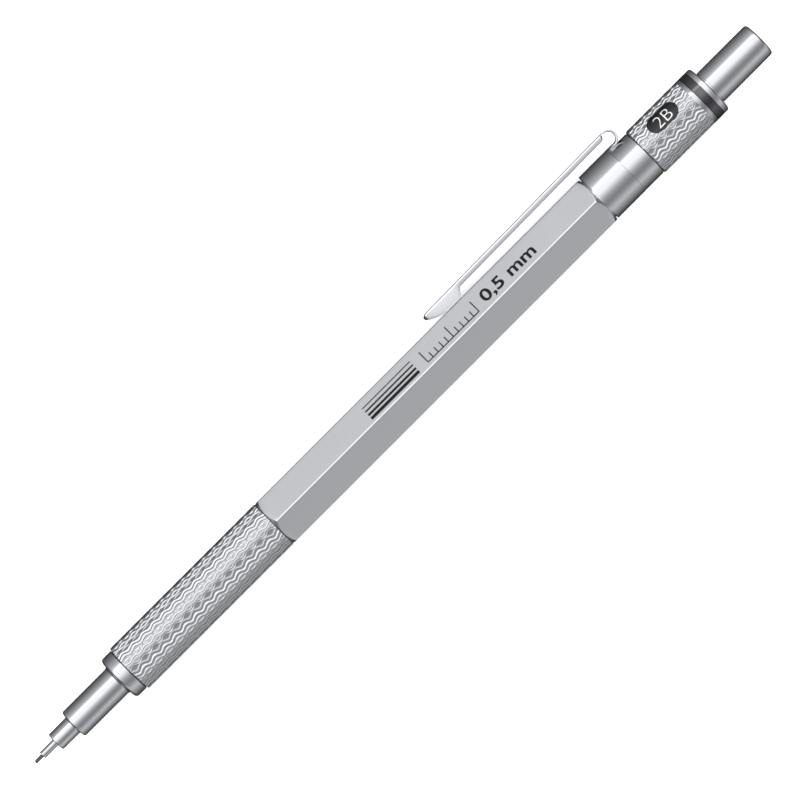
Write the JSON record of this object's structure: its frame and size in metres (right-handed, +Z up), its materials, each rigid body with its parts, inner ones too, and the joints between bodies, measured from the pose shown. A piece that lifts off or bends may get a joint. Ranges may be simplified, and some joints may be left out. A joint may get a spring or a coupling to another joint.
{
  "type": "mechanical pencil",
  "caption": "Metal mechanical pencil with a stepped tip, engraved wave-pattern grip, six-sided barrel, spring clip, turning grade window and push button over an eraser.",
  "frame": {"origin": "on the pencil's axis at the mouth of the lead sleeve", "axes": "+X along the pencil from the tip to the push button, +Y toward the clip, +Z up, out of the barrel corner beside the clip's side"},
  "size_m": [0.1433, 0.0103, 0.0088],
  "materials": {
    "graphite": "dark grey polymer-bonded graphite, slightly shiny",
    "steel": "drawn stainless steel",
    "satin_chrome_brass": "brass with satin chrome plating",
    "engraved_chrome_brass": "brass with satin chrome plating, engraved wave pattern",
    "bright_chrome": "polished chrome on spring steel",
    "button_chrome": "brass with fine satin chrome plating",
    "brass": "bare turned brass",
    "black_rubber": "matt black rubber",
    "black_gloss": "gloss black",
    "black_plastic": "matt black plastic",
    "aluminium": "bare aluminium",
    "white_eraser": "white vinyl eraser"
  },
  "bodies": {
    "barrel_group": {"barrel": "satin_chrome_brass", "grip_sleeve": "engraved_chrome_brass", "grip_core": "brass", "grip_washer": "black_rubber", "rear_ferrule": "satin_chrome_brass", "clip_ring": "bright_chrome", "grade_drum": "black_plastic", "friction_ring": "black_rubber", "colour_ring": "black_gloss", "end_collar": "button_chrome", "mechanism_housing": "black_plastic", "return_spring": "steel"},
    "tip_group": {"tip_cone": "satin_chrome_brass", "lead_sleeve": "steel", "lead_retainer": "black_rubber"},
    "clip": {"clip_arm": "bright_chrome"},
    "grade_group": {"grade_sleeve": "engraved_chrome_brass"},
    "push_rod": {"lead_tube": "black_plastic", "chuck_connector": "brass", "chuck_shank": "brass", "eraser_cup": "aluminium", "spare_lead_1": "graphite", "spare_lead_2": "graphite", "spare_lead_3": "graphite"},
    "cap": {"push_button": "button_chrome"},
    "eraser_stick": {"eraser": "white_eraser"},
    "jaw_1": {"chuck_jaw_1": "brass"},
    "jaw_2": {"chuck_jaw_2": "brass"},
    "jaw_3": {"chuck_jaw_3": "brass"},
    "clutch": {"clutch_ring": "brass"},
    "lead_stick": {"lead": "graphite"}
  },
  "joints": [
    {"name": "tip_unscrew", "type": "slide", "parent": "barrel_group", "child": "tip_group", "axis": [-1, 0, 0], "range_m": [0, 0.024]},
    {"name": "clip_flex", "type": "hinge", "parent": "barrel_group", "child": "clip", "pos_m": [0.11712, 0.00505, 0], "axis": [0, 0, -1], "range_deg": [0, 5], "stiffness_Nm_per_rad": 1, "springref_deg": -1.15},
    {"name": "grade_turn", "type": "hinge", "parent": "barrel_group", "child": "grade_group", "pos_m": [0.1245, 0, 0], "axis": [1, 0, 0], "continuous": true},
    {"name": "button_press", "type": "slide", "parent": "barrel_group", "child": "push_rod", "axis": [-1, 0, 0], "range_m": [0, 0.004], "stiffness_N_per_m": 900, "springref_m": -0.001, "deforming": ["return_spring"]},
    {"name": "cap_pull", "type": "slide", "parent": "push_rod", "child": "cap", "axis": [1, 0, 0], "range_m": [0, 0.02]},
    {"name": "eraser_pull", "type": "slide", "parent": "push_rod", "child": "eraser_stick", "axis": [1, 0, 0], "range_m": [0, 0.006]},
    {"name": "ring_slide", "type": "slide", "parent": "barrel_group", "child": "clutch", "axis": [-1, 0, 0], "range_m": [0, 0.001]},
    {"name": "lead_feed", "type": "slide", "parent": "barrel_group", "child": "lead_stick", "axis": [-1, 0, 0], "range_m": [-0.0014, 0.003]},
    {"name": "jaw_open_1", "type": "hinge", "parent": "push_rod", "child": "jaw_1", "pos_m": [0.02, 0.0006, 0], "axis": [0, 0, -1], "range_deg": [0, 1.2]},
    {"name": "jaw_open_2", "type": "hinge", "parent": "push_rod", "child": "jaw_2", "pos_m": [0.02, -0.0003, 0.00052], "axis": [0, 0.866, 0.5], "range_deg": [0, 1.2]},
    {"name": "jaw_open_3", "type": "hinge", "parent": "push_rod", "child": "jaw_3", "pos_m": [0.02, -0.0003, -0.00052], "axis": [0, -0.866, 0.5], "range_deg": [0, 1.2]}
  ],
  "couplings": [
    {"joint": "eraser_pull", "follows": "cap_pull", "ratio": 0.3},
    {"joint": "ring_slide", "follows": "button_press", "ratio": 0.25},
    {"joint": "jaw_open_1", "follows": "button_press", "rad_per_m": 5.2},
    {"joint": "jaw_open_2", "follows": "button_press", "rad_per_m": 5.2},
    {"joint": "jaw_open_3", "follows": "button_press", "rad_per_m": 5.2}
  ]
}
